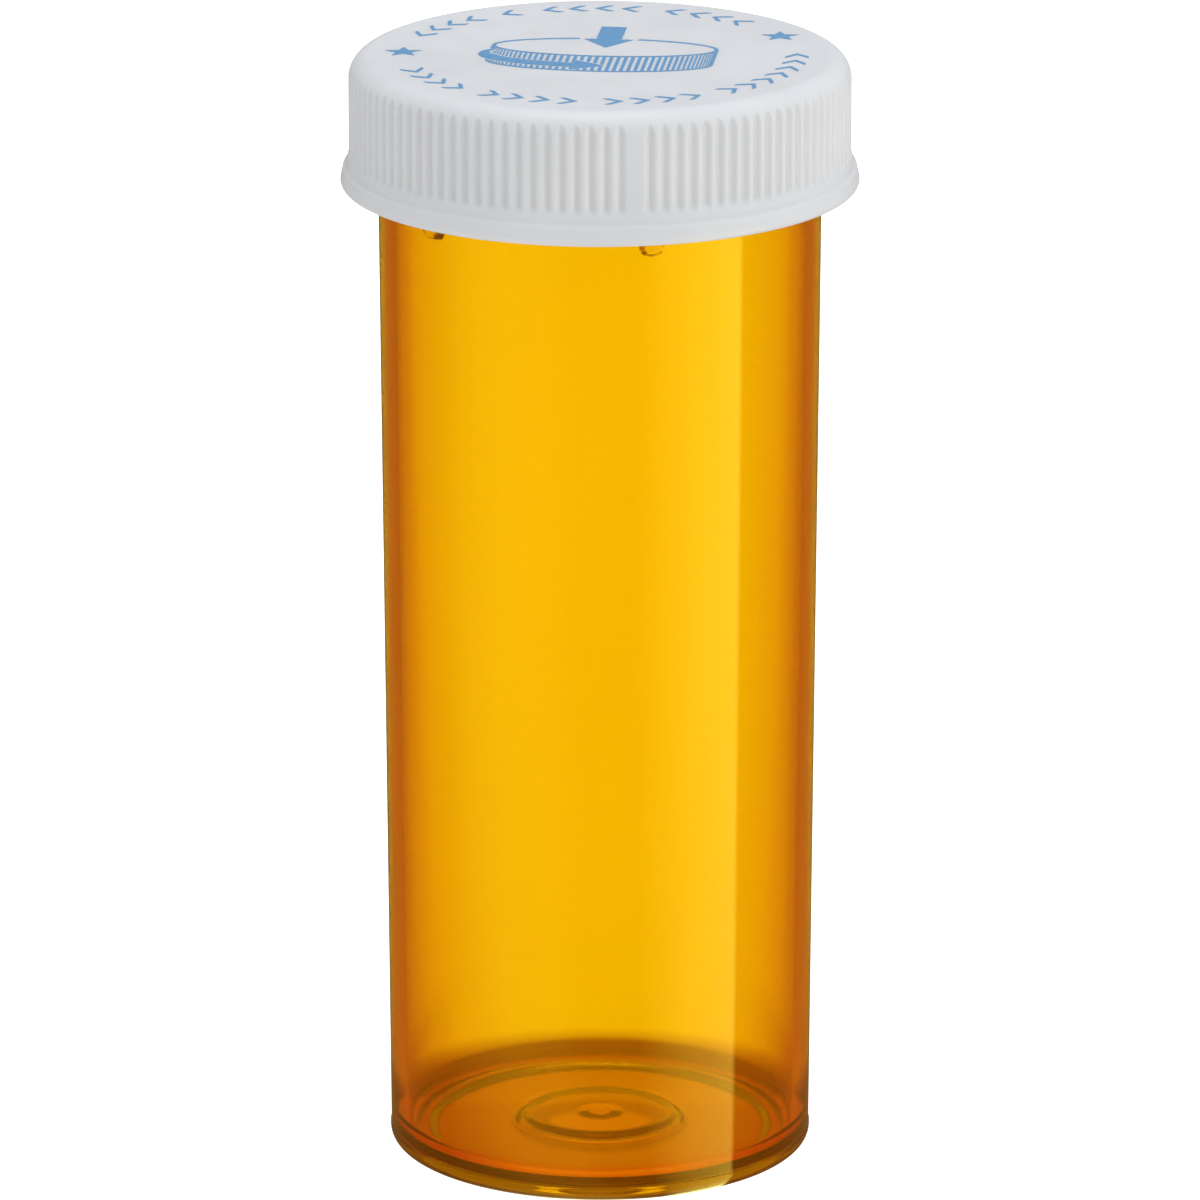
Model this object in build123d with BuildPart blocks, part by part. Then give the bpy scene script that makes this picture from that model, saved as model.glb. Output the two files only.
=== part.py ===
"""Child-resistant pharmacy vial with a push-down-and-turn cap, in millimetres.

The vial stands on its foot ring at z = 0 and its axis is +Z.  The front is towards -Y.
It comes apart into three mouldings and the ink on the cap:
  vial_body    tapered amber tube, closed at the bottom, with six bayonet lugs round its neck
  liner_*      the resilient disc inside the cap: a seal rim that plugs the mouth, a thin
               conical web that acts as the spring, and a hub that bears on the cap
  cap_shell    fluted cap with a flared bottom flange and six inward lugs
  print_*      the ink marks on the cap's top face

Each lug on the neck is a hook.  A cap lug rests in its notch, held up there by the liner.
Pressing the cap down clears the hook, and turning it then brings the cap lug to the gap
between two neck lugs, where the cap lifts off.
"""

import os
from math import cos, pi, radians, sin

from build123d import *

# ---- driving dimensions ------------------------------------------------------------------

# vial
FOOT_RADIUS = 16.12          # outside, at the parting line just above the foot
NECK_RADIUS = 16.65          # outside, from the shoulder height up
RIM_HEIGHT = 81.3            # top of the vial's rim
SHOULDER_HEIGHT = 74.0       # the outside stops tapering here
WALL_FOOT = 1.20
WALL_NECK = 1.15
PARTING_HEIGHT = 1.25        # the bottom insert of the mould ends here
PARTING_STEP = 0.06
HEEL_ROUND = 1.0
FLOOR_TOP = 1.5              # inside face of the bottom
FLOOR_THICKNESS = 1.0
CORNER_ROUND = 1.4           # inside, between the floor and the wall
FOOT_RING_INNER = 13.2       # the foot ring runs from here out to the heel
FOOT_RING_SLOPE = 0.8        # width of its sloping inner side
DIMPLE_RADIUS = 6.4          # the middle of the bottom is raised inside this circle
DIMPLE_SLOPE = 1.0           # width of its sloping edge
DIMPLE_STEP = 0.55           # height of its sloping edge
DIMPLE_RISE = 0.75           # height at the axis
GATE_RADIUS = 0.9            # stub left by the mould's gate
GATE_HEIGHT = 0.35
RIM_ROUND = 0.35

# lugs, six round the neck and six inside the cap
LUG_COUNT = 6
LUG_PITCH = 360 / LUG_COUNT
NECK_LUG_RADIUS = 17.40
STOP_ANGLE = 13.2            # middle of the first stop post, from the front towards +X
STOP_WIDTH = 1.6
STOP_BOTTOM = 74.3
STOP_ROUND = 0.64            # at the post's lower corners
BAR_BOTTOM = 77.35           # the notch's ceiling
BAR_TOP = 78.6
HOOK_DEPTH = 0.8
HOOK_WIDTH = 3.4             # degrees
HOOK_CLEARANCE = 0.1         # above a cap lug as it passes below the hook
CAP_LUG_WIDTH = 7.2          # degrees
CAP_LUG_HEIGHT = 1.4
LUG_GAP = 0.05               # between a resting cap lug and the notch's ceiling
LUG_PLAY = 0.5               # degrees between a resting cap lug and the stop post

# cap
CAP_BOTTOM = 75.6
CAP_TOP = 85.5
CAP_INNER_RADIUS = 17.6
CAP_TOP_THICKNESS = 1.2
CAP_EDGE_ROUND = 1.7
FLUTE_COUNT = 108
FLUTE_CREST_RADIUS = 18.87
FLUTE_DEPTH = 0.28
PLAIN_LAND_ANGLE = 7.9       # one groove is missing here, from the front towards +X
FLANGE_RADIUS = 19.5
FLANGE_TOP_RADIUS = 19.35
FLANGE_HEIGHT = 1.55
FLARE_TOP = 78.2             # the flare from the flutes out to the flange starts here
FLANGE_ROUND = 0.35
CAP_LUG_RADIUS = 16.85
BEAD_RADIUS = 16.95          # small beads that keep the liner in the cap
BEAD_WIDTH = 10              # degrees
BEAD_HEIGHT = 0.35
BEAD_GAP = 0.15              # below the liner's rim
HUB_RING_INNER = 4.9
HUB_RING_OUTER = 5.6
HUB_RING_HEIGHT = 0.7
EMBED = 0.3                  # how far small features run into the wall that carries them

# motion
PRESS_TRAVEL = 2.0           # down, by the end of the turn
TURN_TRAVEL = 22             # degrees

# liner
RIM_GAP = 0.05               # between the liner and the vial's rim, and under the cap
SEAL_RADIUS = 17.3
SEAL_INNER_RADIUS = 13.3
SEAL_THICKNESS = 0.7
PLUG_CLEARANCE = 0.15
PLUG_WALL = 0.75
PLUG_DEPTH = 1.75
PLUG_LEAD_WIDTH = 0.3        # the plug's outside narrows by this much at its lower end
PLUG_LEAD_HEIGHT = 0.7
WEB_THICKNESS = 0.45
WEB_RISE = 1.4
WEB_LIFT = 0.1               # its outer edge stands this far above the seal's underside
WEB_HUB_GAP = 0.08
HUB_RADIUS = 4.6
HUB_HEIGHT = 1.5
HUB_WALL = 0.65
HUB_ROUND = 0.2

# ink on the cap's top face
INK = 0.03
PRINT_TURN = 10              # the print is turned this far about the axis
MARK_RADIUS = 14.75          # middle of the ring of chevrons
MARK_HEIGHT = 1.75
MARK_WIDTH = 1.0
MARK_STROKE = 0.45           # along the ring
MARK_STEP = 7.9              # degrees from one chevron to the next in a group
GROUP_GAP = 5.2              # extra degrees between two groups
UPPER_GROUPS = (4, 4, 1, 4)
LOWER_GROUPS = (4, 4, 4, 7)
STAR_RADIUS = 1.45
STAR_POINTS = 5
STAR_WAIST = 0.42            # inner corner radius over outer
STAR_SIDE_ANGLE = 77         # each star's angle from the print's axis
SYMBOL_TURN = -6             # the closure symbol and its arrows are turned this far
SYMBOL_CENTRE = (0.4, 2.1)   # middle of the symbol's upper ellipse
SYMBOL_HALF_WIDTH = 8.4
SYMBOL_HALF_DEPTH = 2.8
SYMBOL_BAND = 4.7            # height of the ribbed band
SYMBOL_LINE = 0.28
SYMBOL_STEP = 5              # degrees between points of the ellipse
RIB_COUNT = 44
RIB_ARC = 164                # degrees of the ellipse that the ribs cover
RIB_SHARE = 0.5              # of the pitch
RIB_SAG_GAP = 0.3            # between the ribs and the lines above and below
SWEEP_OUT = 0.45             # how far the turn arrow stands outside the band's ellipse
SWEEP_DROP = 2.5             # from the upper ellipse down to the arrow's middle line
SWEEP_ARC = (-112, -12)      # degrees from the front of the ellipse
SWEEP_WIDTH = 1.25
SWEEP_HEAD = 15              # degrees
SWEEP_HEAD_WIDTH = 2.9
SWEEP_STEPS = 24
SWEEP_START_SHARE = 0.15     # its width where it starts
SWEEP_SWELL = 2.2            # how fast it widens
SWEEP_MARGIN = 0.22          # blank edge round the turn arrow
SWEEP_BACK_MARGIN = 0.9      # degrees, behind its head
SWEEP_TIP_MARGIN = 2.2       # degrees, before its tip
SWEEP_HEAD_MARGIN = 0.35
ARROW_HEAD = 2.6
ARROW_HEAD_WIDTH = 3.7
ARROW_SHAFT_WIDTH = 1.9
ARROW_LENGTH = 6.6
ARROW_MARGIN = 0.3           # blank edge round the block arrow
ARROW_TIP_MARGIN = 0.54

# ---- worked out --------------------------------------------------------------------------

FRONT = -90                  # the front's direction, from +X
stop_half = STOP_WIDTH / 2 / NECK_LUG_RADIUS * 180 / pi
stop_start = STOP_ANGLE - stop_half
stop_end = STOP_ANGLE + stop_half
cap_lug_start = stop_end + LUG_PLAY
cap_lug_end = cap_lug_start + CAP_LUG_WIDTH
cap_lug_top = BAR_BOTTOM - LUG_GAP
# The cap goes down evenly as it turns, so the notch runs on until the cap lug is below the hook.
turn_to_clear_hook = (HOOK_DEPTH + HOOK_CLEARANCE) / PRESS_TRAVEL * TURN_TRAVEL
hook_start = cap_lug_end + turn_to_clear_hook
hook_end = hook_start + HOOK_WIDTH
inner_neck_radius = NECK_RADIUS - WALL_NECK
inner_foot_radius = FOOT_RADIUS - PARTING_STEP - WALL_FOOT
floor_bottom = FLOOR_TOP - FLOOR_THICKNESS
dome_radius = DIMPLE_RADIUS - DIMPLE_SLOPE
dome_rise = DIMPLE_RISE - DIMPLE_STEP
dome_round = (dome_radius**2 + dome_rise**2) / (2 * dome_rise)
cap_ceiling = CAP_TOP - CAP_TOP_THICKNESS
seal_bottom = RIM_HEIGHT + RIM_GAP
seal_top = seal_bottom + SEAL_THICKNESS
bead_top = seal_bottom - BEAD_GAP
bead_angle = (cap_lug_start + cap_lug_end + LUG_PITCH) / 2
hub_top = cap_ceiling - RIM_GAP
flute_root_radius = FLUTE_CREST_RADIUS - FLUTE_DEPTH
flange_top = CAP_BOTTOM + FLANGE_HEIGHT


def polar(radius, angle):
    """The point at this radius and angle, in degrees from +X."""
    return (radius * cos(radians(angle)), radius * sin(radians(angle)))


def add_sector(inner, outer, bottom, top, start, end):
    """Adds a block of a ring to the part in hand.  Its angles are from the front towards +X."""
    plane = Plane.XZ.rotated((0, 0, FRONT + start))
    with BuildSketch(plane) as section:
        with Locations(((inner + outer) / 2, (bottom + top) / 2)):
            Rectangle(outer - inner, top - bottom)
    revolve(section.sketch, axis=Axis.Z, revolution_arc=end - start)


# ---- the vial ----------------------------------------------------------------------------

def make_vial():
    """The tapered tube with its foot ring, gate dimple, rim and neck lugs."""
    with BuildPart() as vial:
        with BuildSketch(Plane.XZ):
            with BuildLine():
                gate = (0, floor_bottom + DIMPLE_RISE)
                dome_edge = (dome_radius, floor_bottom + DIMPLE_STEP)
                dimple_edge = (DIMPLE_RADIUS, floor_bottom)
                RadiusArc(gate, dome_edge, dome_round)
                Polyline(
                    dome_edge,
                    dimple_edge,
                    (FOOT_RING_INNER - FOOT_RING_SLOPE, floor_bottom),
                    (FOOT_RING_INNER, 0),
                    (FOOT_RADIUS - HEEL_ROUND, 0),
                )
                RadiusArc(
                    (FOOT_RADIUS - HEEL_ROUND, 0), (FOOT_RADIUS, HEEL_ROUND), -HEEL_ROUND
                )
                Polyline(
                    (FOOT_RADIUS, HEEL_ROUND),
                    (FOOT_RADIUS, PARTING_HEIGHT),
                    (FOOT_RADIUS - PARTING_STEP, PARTING_HEIGHT),
                    (NECK_RADIUS, SHOULDER_HEIGHT),
                    (NECK_RADIUS, RIM_HEIGHT - RIM_ROUND),
                )
                RadiusArc(
                    (NECK_RADIUS, RIM_HEIGHT - RIM_ROUND),
                    (NECK_RADIUS - RIM_ROUND, RIM_HEIGHT),
                    -RIM_ROUND,
                )
                Line(
                    (NECK_RADIUS - RIM_ROUND, RIM_HEIGHT),
                    (inner_neck_radius + RIM_ROUND, RIM_HEIGHT),
                )
                RadiusArc(
                    (inner_neck_radius + RIM_ROUND, RIM_HEIGHT),
                    (inner_neck_radius, RIM_HEIGHT - RIM_ROUND),
                    -RIM_ROUND,
                )
                Line(
                    (inner_neck_radius, RIM_HEIGHT - RIM_ROUND),
                    (inner_foot_radius, FLOOR_TOP + CORNER_ROUND),
                )
                RadiusArc(
                    (inner_foot_radius, FLOOR_TOP + CORNER_ROUND),
                    (inner_foot_radius - CORNER_ROUND, FLOOR_TOP),
                    CORNER_ROUND,
                )
                step_edge = (dome_radius, FLOOR_TOP + DIMPLE_STEP)
                dome_top = (0, FLOOR_TOP + DIMPLE_RISE)
                Line((inner_foot_radius - CORNER_ROUND, FLOOR_TOP), (DIMPLE_RADIUS, FLOOR_TOP))
                Line((DIMPLE_RADIUS, FLOOR_TOP), step_edge)
                RadiusArc(step_edge, dome_top, -dome_round)
                Line(dome_top, gate)
            make_face()
        revolve(axis=Axis.Z)

        with Locations((0, 0, floor_bottom + DIMPLE_RISE)):
            Cylinder(GATE_RADIUS, 2 * GATE_HEIGHT)

        embed = NECK_RADIUS - WALL_NECK / 2
        for k in range(LUG_COUNT):
            turn = k * LUG_PITCH
            add_sector(
                embed, NECK_LUG_RADIUS, BAR_BOTTOM, BAR_TOP, turn + stop_start, turn + hook_end
            )
            add_sector(
                embed,
                NECK_LUG_RADIUS,
                BAR_BOTTOM - HOOK_DEPTH,
                BAR_BOTTOM + HOOK_DEPTH,
                turn + hook_start,
                turn + hook_end,
            )
            angle = FRONT + turn + STOP_ANGLE
            face = Plane(
                origin=(*polar(embed, angle), (STOP_BOTTOM + BAR_TOP) / 2),
                x_dir=(*polar(1, angle + 90), 0),
                z_dir=(*polar(1, angle), 0),
            )
            with BuildSketch(face) as post:
                outline = Rectangle(STOP_WIDTH, BAR_TOP - STOP_BOTTOM)
                low = outline.vertices().sort_by(Axis.Z)[:2]
                fillet(low, STOP_ROUND)
            extrude(post.sketch, amount=NECK_LUG_RADIUS - embed)
    vial.part.label = "vial_body"
    return vial.part


# ---- the liner ---------------------------------------------------------------------------

def make_liner_seal():
    """The flat rim that lies on the vial's rim, and the plug that goes into its mouth."""
    plug_outer = inner_neck_radius - PLUG_CLEARANCE
    plug_inner = plug_outer - PLUG_WALL
    with BuildPart() as seal:
        with BuildSketch(Plane.XZ):
            with BuildLine():
                Polyline(
                    (SEAL_INNER_RADIUS, seal_bottom),
                    (plug_inner, seal_bottom),
                    (plug_inner, seal_bottom - PLUG_DEPTH),
                    (plug_outer - PLUG_LEAD_WIDTH, seal_bottom - PLUG_DEPTH),
                    (plug_outer, seal_bottom - PLUG_DEPTH + PLUG_LEAD_HEIGHT),
                    (plug_outer, seal_bottom),
                    (SEAL_RADIUS, seal_bottom),
                    (SEAL_RADIUS, seal_top),
                    (SEAL_INNER_RADIUS, seal_top),
                    close=True,
                )
            make_face()
        revolve(axis=Axis.Z)
    seal.part.label = "liner_seal"
    return seal.part


def make_liner_web():
    """The thin cone between the seal and the hub, which flattens as the cap is pressed."""
    outer_bottom = seal_bottom + WEB_LIFT
    inner_bottom = outer_bottom + WEB_RISE
    inner = HUB_RADIUS + WEB_HUB_GAP
    with BuildPart() as web:
        with BuildSketch(Plane.XZ):
            with BuildLine():
                Polyline(
                    (SEAL_INNER_RADIUS, outer_bottom),
                    (SEAL_INNER_RADIUS, outer_bottom + WEB_THICKNESS),
                    (inner, inner_bottom + WEB_THICKNESS),
                    (inner, inner_bottom),
                    close=True,
                )
            make_face()
        revolve(axis=Axis.Z)
    web.part.label = "liner_web"
    return web.part


def make_liner_hub():
    """The hollow button that bears on the cap's underside and carries it up again."""
    with BuildPart() as hub:
        with Locations((0, 0, hub_top - HUB_HEIGHT / 2)):
            Cylinder(HUB_RADIUS, HUB_HEIGHT)
        with Locations((0, 0, hub_top - HUB_WALL - HUB_HEIGHT / 2)):
            Cylinder(HUB_RADIUS - HUB_WALL, HUB_HEIGHT, mode=Mode.SUBTRACT)
        fillet(hub.edges().group_by(Axis.Z)[-1], HUB_ROUND)
    hub.part.label = "liner_hub"
    return hub.part


# ---- the cap -----------------------------------------------------------------------------

def fluted_outline(height):
    """The closed outline of the cap's convex flutes, with one plain land, at this height."""
    step = 360 / FLUTE_COUNT
    first = FRONT + PLAIN_LAND_ANGLE + step
    with BuildSketch(Plane.XY.offset(height)) as outline:
        with BuildLine():
            for k in range(FLUTE_COUNT - 1):
                start = first + k * step
                width = step
                if k == FLUTE_COUNT - 2:
                    width = 2 * step
                ThreePointArc(
                    polar(flute_root_radius, start),
                    polar(FLUTE_CREST_RADIUS, start + width / 2),
                    polar(flute_root_radius, start + width),
                )
        make_face()
    return outline.sketch


def make_cap():
    """The fluted shell with its flange, inner lugs, liner beads and the ring round the hub."""
    with BuildPart() as cap:
        low = FLARE_TOP - EMBED
        extrude(fluted_outline(low), amount=CAP_TOP - low)
        with BuildSketch(Plane.XZ):
            with BuildLine():
                edge_start = (FLUTE_CREST_RADIUS, CAP_TOP - CAP_EDGE_ROUND)
                edge_end = (FLUTE_CREST_RADIUS - CAP_EDGE_ROUND, CAP_TOP)
                Polyline((0, low), (FLUTE_CREST_RADIUS, low), edge_start)
                RadiusArc(edge_start, edge_end, -CAP_EDGE_ROUND)
                Polyline(edge_end, (0, CAP_TOP), (0, low))
            make_face()
        revolve(axis=Axis.Z, mode=Mode.INTERSECT)
        with BuildSketch(Plane.XZ):
            with BuildLine():
                Line((0, CAP_BOTTOM), (FLANGE_RADIUS - FLANGE_ROUND, CAP_BOTTOM))
                RadiusArc(
                    (FLANGE_RADIUS - FLANGE_ROUND, CAP_BOTTOM),
                    (FLANGE_RADIUS, CAP_BOTTOM + FLANGE_ROUND),
                    -FLANGE_ROUND,
                )
                Polyline(
                    (FLANGE_RADIUS, CAP_BOTTOM + FLANGE_ROUND),
                    (FLANGE_TOP_RADIUS, flange_top),
                    (flute_root_radius - EMBED, FLARE_TOP),
                    (0, FLARE_TOP),
                    (0, CAP_BOTTOM),
                )
            make_face()
        revolve(axis=Axis.Z)
        hollow = cap_ceiling - CAP_BOTTOM
        with Locations((0, 0, CAP_BOTTOM + hollow / 2)):
            Cylinder(CAP_INNER_RADIUS, hollow, mode=Mode.SUBTRACT)

        wall = CAP_INNER_RADIUS + EMBED
        for k in range(LUG_COUNT):
            turn = k * LUG_PITCH
            add_sector(
                CAP_LUG_RADIUS,
                wall,
                cap_lug_top - CAP_LUG_HEIGHT,
                cap_lug_top,
                turn + cap_lug_start,
                turn + cap_lug_end,
            )
            add_sector(
                BEAD_RADIUS,
                wall,
                bead_top - BEAD_HEIGHT,
                bead_top,
                turn + bead_angle - BEAD_WIDTH / 2,
                turn + bead_angle + BEAD_WIDTH / 2,
            )
        with BuildSketch(Plane.XY.offset(cap_ceiling - HUB_RING_HEIGHT)) as ring:
            Circle(HUB_RING_OUTER)
            Circle(HUB_RING_INNER, mode=Mode.SUBTRACT)
        extrude(ring.sketch, amount=HUB_RING_HEIGHT + EMBED)
    cap.part.label = "cap_shell"
    return cap.part


# ---- the ink -----------------------------------------------------------------------------

def group_angles(groups):
    """The chevrons' angles either side of zero, with a wider gap between groups."""
    angles = []
    at = 0
    for count in groups:
        for _ in range(count):
            angles.append(at)
            at += MARK_STEP
        at += GROUP_GAP
    middle = (angles[0] + angles[-1]) / 2
    return [a - middle for a in angles]


def add_chevron(angle):
    """Adds one chevron to the sketch in hand, pointing round the ring."""
    half = MARK_HEIGHT / 2
    reach = MARK_WIDTH / 2
    with Locations(Location((*polar(MARK_RADIUS, angle), 0), (0, 0, angle))):
        Polygon(
            (-half, -reach),
            (0, reach),
            (half, -reach),
            (half, -reach - MARK_STROKE),
            (0, reach - MARK_STROKE),
            (-half, -reach - MARK_STROKE),
            align=None,
        )


def make_marks():
    """Two arcs of grouped chevrons round the edge of the top face, pointing the way it turns."""
    with BuildPart() as marks:
        with BuildSketch(Plane.XY.offset(CAP_TOP)):
            for offset in group_angles(UPPER_GROUPS):
                add_chevron(90 + PRINT_TURN + offset)
            for offset in group_angles(LOWER_GROUPS):
                add_chevron(-90 + PRINT_TURN + offset)
        extrude(amount=INK)
    marks.part.label = "print_marks"
    return marks.part


def make_stars():
    """A plain star at each end of the two arcs."""
    corners = []
    for k in range(2 * STAR_POINTS):
        radius = STAR_RADIUS
        if k % 2:
            radius = STAR_RADIUS * STAR_WAIST
        corners.append(polar(radius, 90 + k * 180 / STAR_POINTS))
    with BuildPart() as stars:
        with BuildSketch(Plane.XY.offset(CAP_TOP)):
            for side in (-1, 1):
                centre = polar(MARK_RADIUS, 90 + PRINT_TURN + side * STAR_SIDE_ANGLE)
                with Locations(centre):
                    Polygon(*corners, align=None)
        extrude(amount=INK)
    stars.part.label = "print_stars"
    return stars.part


def block_arrow(margin=0, tip_margin=0):
    """Corners of the arrow that points down at the symbol's top, with a margin round it."""
    head = ARROW_HEAD + margin
    half_head = ARROW_HEAD_WIDTH / 2 + tip_margin
    half_shaft = ARROW_SHAFT_WIDTH / 2 + margin
    top = ARROW_LENGTH + margin
    return [
        (0, -tip_margin),
        (half_head, head),
        (half_shaft, head),
        (half_shaft, top),
        (-half_shaft, top),
        (-half_shaft, head),
        (-half_head, head),
    ]


def sweep_point(angle, rise):
    """A point on the turn arrow, this far round the ellipse and inwards of its middle line."""
    across = SYMBOL_HALF_WIDTH + SWEEP_OUT
    deep = SYMBOL_HALF_DEPTH + SWEEP_OUT
    normal = Vector(deep * sin(radians(angle)), -across * cos(radians(angle))).normalized()
    x = across * sin(radians(angle)) - normal.X * rise
    y = -SWEEP_DROP - deep * cos(radians(angle)) - normal.Y * rise
    return (x, y)


def turn_arrow(margin=0, head_margin=0, back_margin=0, tip_margin=0):
    """Corners of the arrow that wraps round the band's left and front, with its margins."""
    start, end = SWEEP_ARC
    lower = []
    upper = []
    for k in range(SWEEP_STEPS + 1):
        share = k / SWEEP_STEPS
        angle = start + (end - start) * share
        width = SWEEP_WIDTH / 2 * min(1, SWEEP_START_SHARE + SWEEP_SWELL * share) + margin
        lower.append(sweep_point(angle, -width))
        upper.append(sweep_point(angle, width))
    head = SWEEP_HEAD_WIDTH / 2 + head_margin
    tip = [
        sweep_point(end - back_margin, -head),
        sweep_point(end + SWEEP_HEAD + tip_margin, 0),
        sweep_point(end - back_margin, head),
    ]
    return lower + tip + upper[::-1]


def make_arrows():
    """A block arrow that pushes down on the symbol, and a curved arrow that turns it."""
    with BuildPart() as arrows:
        with BuildSketch(Plane.XY.offset(CAP_TOP)):
            with Locations(Location((*SYMBOL_CENTRE, 0), (0, 0, SYMBOL_TURN))):
                Polygon(*block_arrow(), align=None)
                Polygon(*turn_arrow(), align=None)
        extrude(amount=INK)
    arrows.part.label = "print_arrows"
    return arrows.part


def ellipse_points(grow, start, end):
    """Points round the symbol's ellipse, grown by this much, in degrees from its front."""
    wide = SYMBOL_HALF_WIDTH + grow
    deep = SYMBOL_HALF_DEPTH + grow
    count = round(abs(end - start) / SYMBOL_STEP)
    angles = [radians(start + (end - start) * k / count) for k in range(count + 1)]
    return [(wide * sin(a), -deep * cos(a)) for a in angles]


def make_symbol():
    """A plain ribbed closure seen from above its edge: an ellipse over a band of ribs."""
    half_line = SYMBOL_LINE / 2
    wide = SYMBOL_HALF_WIDTH
    deep = SYMBOL_HALF_DEPTH
    side_top = SYMBOL_BAND - RIB_SAG_GAP
    lower = ellipse_points(half_line, -90, 90)
    upper = ellipse_points(-half_line, 90, -90)
    band = [(lower[0][0], side_top), *lower, (lower[-1][0], side_top)]
    band += [(upper[0][0], side_top), *upper, (upper[-1][0], side_top)]
    centre = Location((*SYMBOL_CENTRE, 0), (0, 0, SYMBOL_TURN))
    with BuildPart() as symbol:
        with BuildSketch(Plane.XY.offset(CAP_TOP)):
            with Locations(centre):
                with Locations((0, -SYMBOL_BAND)):
                    Polygon(*band, align=None)
                for k in range(RIB_COUNT):
                    angle = radians(RIB_ARC * ((k + 0.5) / RIB_COUNT - 0.5))
                    pitch = wide * cos(angle) * radians(RIB_ARC / RIB_COUNT)
                    middle = -SYMBOL_BAND / 2 - deep * cos(angle)
                    with Locations((wide * sin(angle), middle)):
                        Rectangle(pitch * RIB_SHARE, SYMBOL_BAND - 2 * RIB_SAG_GAP)
                Polygon(*ellipse_points(half_line, 0, 360)[:-1], align=None)
                Polygon(
                    *ellipse_points(-half_line, 0, 360)[:-1], align=None, mode=Mode.SUBTRACT
                )
                block_gap = block_arrow(ARROW_MARGIN, ARROW_TIP_MARGIN)
                sweep_gap = turn_arrow(
                    SWEEP_MARGIN, SWEEP_HEAD_MARGIN, SWEEP_BACK_MARGIN, SWEEP_TIP_MARGIN
                )
                Polygon(*block_gap, align=None, mode=Mode.SUBTRACT)
                Polygon(*sweep_gap, align=None, mode=Mode.SUBTRACT)
        extrude(amount=INK)
    symbol.part.label = "print_symbol"
    return symbol.part


def main():
    os.makedirs("parts", exist_ok=True)
    pieces = [
        make_vial(),
        make_liner_seal(),
        make_liner_web(),
        make_liner_hub(),
        make_cap(),
        make_marks(),
        make_stars(),
        make_arrows(),
        make_symbol(),
    ]
    for piece in pieces:
        export_step(piece, f"parts/{piece.label}.step")
        print(piece.label, round(piece.volume, 2), "mm3")
    cap_lug_middle = (cap_lug_start + cap_lug_end) / 2
    print("notch", round(stop_end, 2), "to", round(hook_start, 2), "hook to", round(hook_end, 2))
    print("cap lug middle", round(cap_lug_middle, 2), "bead", round(bead_angle, 2))


main()
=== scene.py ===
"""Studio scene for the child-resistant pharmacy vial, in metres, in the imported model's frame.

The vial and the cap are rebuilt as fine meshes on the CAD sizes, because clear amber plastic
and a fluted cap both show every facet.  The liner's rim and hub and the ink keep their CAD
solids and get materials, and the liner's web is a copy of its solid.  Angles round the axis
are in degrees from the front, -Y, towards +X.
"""

from math import ceil, cos, hypot, pi, radians, sin

import bpy
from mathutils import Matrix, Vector


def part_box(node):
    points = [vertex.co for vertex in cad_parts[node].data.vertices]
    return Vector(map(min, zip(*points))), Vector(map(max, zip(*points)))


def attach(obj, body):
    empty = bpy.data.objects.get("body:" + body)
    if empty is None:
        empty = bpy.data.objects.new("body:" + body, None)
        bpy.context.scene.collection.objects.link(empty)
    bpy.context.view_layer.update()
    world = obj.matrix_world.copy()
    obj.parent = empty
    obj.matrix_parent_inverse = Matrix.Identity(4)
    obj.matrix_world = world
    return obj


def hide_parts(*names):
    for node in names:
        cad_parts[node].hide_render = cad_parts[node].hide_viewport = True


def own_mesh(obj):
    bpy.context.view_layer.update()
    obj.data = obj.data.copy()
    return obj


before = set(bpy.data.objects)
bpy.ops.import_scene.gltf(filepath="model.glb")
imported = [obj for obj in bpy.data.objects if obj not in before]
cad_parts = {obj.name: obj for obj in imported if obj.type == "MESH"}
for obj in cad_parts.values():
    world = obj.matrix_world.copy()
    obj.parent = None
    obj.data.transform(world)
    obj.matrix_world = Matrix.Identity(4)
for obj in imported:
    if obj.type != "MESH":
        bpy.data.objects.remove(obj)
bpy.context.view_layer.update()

MM = 0.001

# ---- sizes, in millimetres, on the CAD's -------------------------------------------------

low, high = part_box("vial_body")
RIM_HEIGHT = high[2] / MM
FOOT_RADIUS = 16.12
NECK_RADIUS = 16.65
INNER_NECK_RADIUS = 15.50
INNER_FOOT_RADIUS = 14.86
SHOULDER_HEIGHT = 74.0
PARTING_HEIGHT = 1.25
PARTING_STEP = 0.06
HEEL_ROUND = 1.0
FLOOR_TOP = 1.5
FLOOR_BOTTOM = 0.5
CORNER_ROUND = 1.4
FOOT_RING_START = 12.4       # the underside starts down towards the foot ring here
FOOT_RING_SLOPE = 1.0
DIMPLE_RADIUS = 6.4
DIMPLE_SLOPE = 1.0
DIMPLE_STEP = 0.55
DIMPLE_RISE = 0.75
GATE_RADIUS = 0.9
GATE_HEIGHT = 0.35
GATE_ROUND = 0.12
RIM_ROUND = 0.35

LUG_PITCH = 60
LUG_LEAD = 10                # degrees before its stop post where a lug's own stretch begins
NECK_LUG_RADIUS = 17.38
STOP_ANGLE = 13.2
STOP_WIDTH = 1.6
STOP_BOTTOM = 74.3
STOP_ROUND = 0.6
BAR_BOTTOM = 77.35
BAR_TOP = 78.6
BAR_ROUND = 0.15
HOOK_DEPTH = 0.8
HOOK_ROUND = 0.25
HOOK_ANGLES = (33.43, 36.83)
CAP_LUG_ANGLE = 19.93
CAP_LUG_HALF = 3.6
CAP_LUG_RADIUS = 16.87
CAP_LUG_HEIGHTS = (75.9, 77.3)
CAP_LUG_ROUND = 0.3
BEAD_ANGLE = 49.93
BEAD_HALF = 5.0
BEAD_RADIUS = 16.97
BEAD_HEIGHTS = (80.85, 81.2)
BEAD_ROUND = 0.1
LUG_SOFT = 0.12              # half the width over which a lug's side rises
LUG_MARGIN = 0.4             # fine rows reach this far past the neck's lugs

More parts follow.
